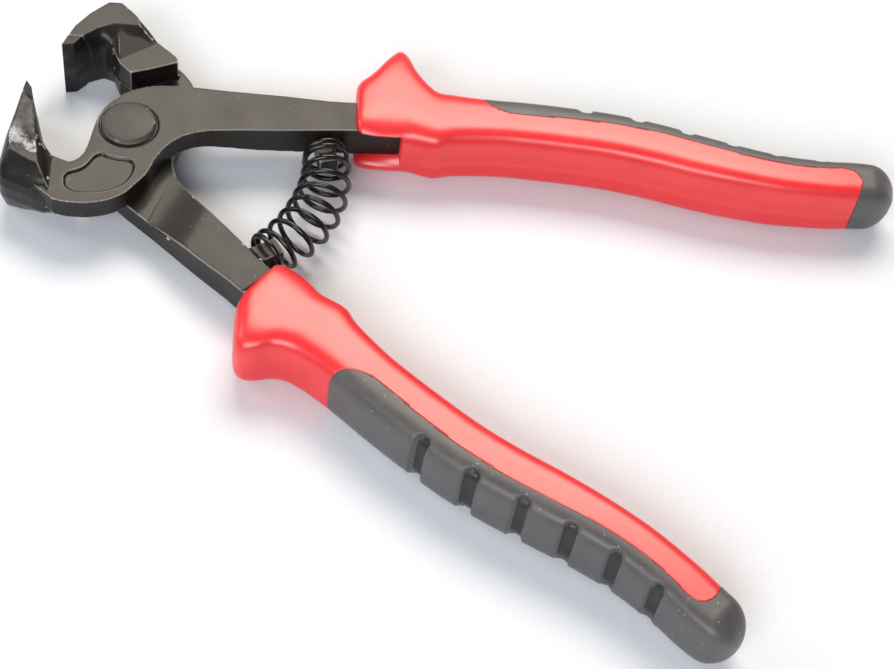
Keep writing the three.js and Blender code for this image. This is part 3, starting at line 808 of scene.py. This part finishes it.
# %% Grip sections
guard_inner = [(46.4, 20.9), (47.6, 20.3), (49, 20.3), (51, 20.7), (53, 21.3), (55.5, 22.4), (58.5, 23.9)]
guard_outer = {
    "front": [(40.4, 35.6), (42, 38.6), (43.1, 42), (43.9, 46), (45.4, 49.8), (47.9, 49), (52, 45)],
    "rear": [(42.6, 34.2), (43.8, 37.5), (45.2, 41), (46.8, 44.2), (48.9, 45.3), (51.4, 44.4), (54.2, 42.3)],
}
guard_thickness = [7.3, 7.7, 7.9, 8, 8, 8, 8]
# (x, y, half width, half thickness) along the handle
handle = [(61, 33.2, 8.9, 8), (65, 34.8, 7.8, 8), (70, 36.8, 7.2, 8), (75, 38.8, 6.9, 8),
          (80, 40.7, 6.9, 8), (90, 44, 6.9, 8), (100, 46.9, 6.9, 8), (110, 48.8, 6.8, 8),
          (120, 50.05, 6.6, 8), (130, 51.6, 6.2, 8),
          (140, 53.9, 5.9, 7.8), (150, 57.5, 5.8, 7.5), (155, 59.8, 5.8, 7.3), (160, 61.7, 5.7, 7.1),
          (164.9, 62.7, 5.6, 6.9)]
RING_STEP, RING_POINTS, SQUARENESS = 0.4, 120, 4
NOSE_ROUND, NOSE_RINGS = 1.3, 7
END_ROUND, END_RINGS, END_CAP = 6.5, 16, 0.06
ROWS_PER_SPAN, OVAL_STEPS = 24, 4001


def section_row(side):
    """(inner x, y, outer x, y, half thickness) of each section, closely spaced."""
    line = np.array(handle)
    width = line[:, 2:3]
    normal = sideways(line, 1) - line[:, :2]
    inner = np.vstack([guard_inner, line[:, :2] - normal * width])
    outer = np.vstack([guard_outer[side], line[:, :2] + normal * width])
    thick = np.concatenate([guard_thickness, line[:, 3]])[:, None]
    rows = curve(np.hstack([inner, outer, thick]), ROWS_PER_SPAN)
    centre = (rows[:, :2] + rows[:, 2:4]) / 2
    travel = np.concatenate([[0], np.cumsum(np.linalg.norm(np.diff(centre, axis=0), axis=1))])
    nose = NOSE_ROUND * (1 - np.cos(np.linspace(0, math.pi / 2, NOSE_RINGS)))
    tail = travel[-1] - END_ROUND * (1 - np.cos(np.linspace(math.pi / 2, END_CAP, END_RINGS)))
    between = np.arange(NOSE_ROUND + RING_STEP, travel[-1] - END_ROUND, RING_STEP)
    places = np.concatenate([nose, between, tail])
    return places, travel[-1], np.stack([np.interp(places, travel, c) for c in rows.T], 1)


def even_section():
    """Points evenly spaced round a squarish oval of half size 1."""
    a = np.linspace(0, 2 * math.pi, OVAL_STEPS)
    c = np.sign(np.cos(a)) * np.abs(np.cos(a)) ** (2 / SQUARENESS)
    s = np.sign(np.sin(a)) * np.abs(np.sin(a)) ** (2 / SQUARENESS)
    length = np.concatenate([[0], np.cumsum(np.hypot(np.diff(c), np.diff(s)))])
    spots = np.linspace(0, length[-1], RING_POINTS, endpoint=False)
    return np.interp(spots, length, c), np.interp(spots, length, s)


# %% [markdown]
# Grooves and the mould's parting line. Six finger grooves wrap over the outer side of the
# soft inlay, round-ended on the top and on the underside. They are pressed in by moving the
# skin inwards where it lies within half a groove's width of the groove's line, and their
# floors get the darker groove rubber, painted shade of the recess. The hard body
# has a fine raised line along its inner side, where the halves of the mould closed.

# %% Grip form
GROOVE_RADII = [103.5, 115.2, 126.2, 136.8, 147.4, 158.2]  # distances from the pivot
GROOVE_WIDTH, GROOVE_DEPTH, GROOVE_START, GROOVE_WALL = 3.3, 1.35, 4.0, 0.3
GROOVE_FLOOR = 0.6  # the share of the full depth from which the floor's rubber begins
HANDLE_RINGS = 260  # the rings behind the guard, where the grooves lie
PARTING_Z, PARTING_WIDTH, PARTING_HEIGHT = -1.2, 0.5, 0.35


def grip_form(side, grooved):
    """A whole grip: with its grooves for the soft inlay, with its mould line for the hard body."""
    across, upwards = even_section()
    places, end, rows = section_row(side)
    centres = (rows[:, :2] + rows[:, 2:4]) / 2
    radii = np.hypot(centres[:, 0], centres[:, 1])
    groove_places = np.interp(GROOVE_RADII, radii[-HANDLE_RINGS:], places[-HANDLE_RINGS:])
    rings, pressed = [], []
    for place, row, centre in zip(places, rows, centres):
        reach, half = (row[2:4] - row[:2]) / 2, row[4]
        width = np.linalg.norm(reach)
        nose = NOSE_ROUND - math.sqrt(max(0, NOSE_ROUND**2 - max(0, NOSE_ROUND - place) ** 2))
        tail = math.sqrt(max(0, 1 - max(0, 1 - (end - place) / END_ROUND) ** 2))
        lateral = (width - nose) * tail * across
        height = (half - nose) * tail * upwards
        inward = np.stack([-lateral, -height], 1)
        inward /= np.linalg.norm(inward, axis=1)[:, None] + 1e-9
        push = np.zeros(RING_POINTS)
        if grooved:
            for spot in groove_places:
                beyond = np.minimum(0, lateral - (GROOVE_START + GROOVE_WIDTH / 2))
                inside = GROOVE_WIDTH / 2 - np.hypot(place - spot, beyond)
                push = np.maximum(push, ease(inside / GROOVE_WALL) * GROOVE_DEPTH)
        else:
            line = np.exp(-((height - PARTING_Z) / PARTING_WIDTH) ** 2) * PARTING_HEIGHT
            push -= np.where(lateral < 0, line, 0)
        lateral, height = lateral + inward[:, 0] * push, height + inward[:, 1] * push
        plan = centre + (reach / width) * lateral[:, None]
        rings.append([(x, y, z) for (x, y), z in zip(plan, height)])
        pressed.extend(push)
    form = solid_object("grip", loft(rings))
    if grooved:
        form.data.materials.append(rubber)
        form.data.materials.append(groove_shaded_rubber)
        # Groove floors get the darker rubber: painted shade of the recess.
        for face in form.data.polygons:
            if min(pressed[v] for v in face.vertices) > GROOVE_FLOOR * GROOVE_DEPTH:
                face.material_index = 1
    return form


split_line = [(66.6, 52), (67.6, 46), (68.4, 43.8), (70, 41.8), (73, 40.6), (77, 40.8), (82, 42.5),
              (90, 45.6), (100, 48.8), (110, 51), (120, 52.3), (130, 53.5), (140, 55.7), (147, 58.3),
              (151.6, 60.6),
              (154.4, 61), (156.5, 59.4), (157.2, 56.5), (157.2, 48)]
SEAM = 0.1
FIELD_START, FIELD_END, FIELD_BACK, FIELD_SIDE, FIELD_HEIGHT = 66, 180, 48, 80, 20


def soft_field(gap):
    """Everything on the soft inlay's side of the parting line, in plan."""
    line = sideways(curve(split_line), -gap)
    corners = [(FIELD_END, FIELD_BACK), (FIELD_END, FIELD_SIDE), (FIELD_START, FIELD_SIDE)]
    return solid_object("field", prism([*line, *corners], -FIELD_HEIGHT, FIELD_HEIGHT))


nose_slot = [(44, 21.4), (55.4, 26.6), (60, 16.4), (48, 8)]
SLOT_CLEAR = 0.3


def build_hard_body(side):
    """The red body: the whole grip without the inlay's side, with a slot for the lever."""
    body = combine(grip_form(side, grooved=False), soft_field(SEAM), "DIFFERENCE")
    slot = prism(nose_slot, BACK_GRIP - SLOT_CLEAR, LEVER_FACE + SLOT_CLEAR)
    return combine(body, solid_object("slot", slot), "DIFFERENCE")


def build_inlay(side):
    """The soft inlay: the grooved grip's outer side."""
    return combine(grip_form(side, grooved=True), soft_field(0), "INTERSECT")


for side, body in (("front", FRONT), ("rear", REAR)):
    hard = build_hard_body(side)
    hard.name = f"{side}_grip_body"
    finish_piece(hard, side, body, red, "grip_plastic", f"{side}_grip")
    soft = build_inlay(side)
    soft.name = f"{side}_grip_inlay"
    finish_piece(soft, side, body, rubber, "grip_rubber", f"{side}_grip_overmould")
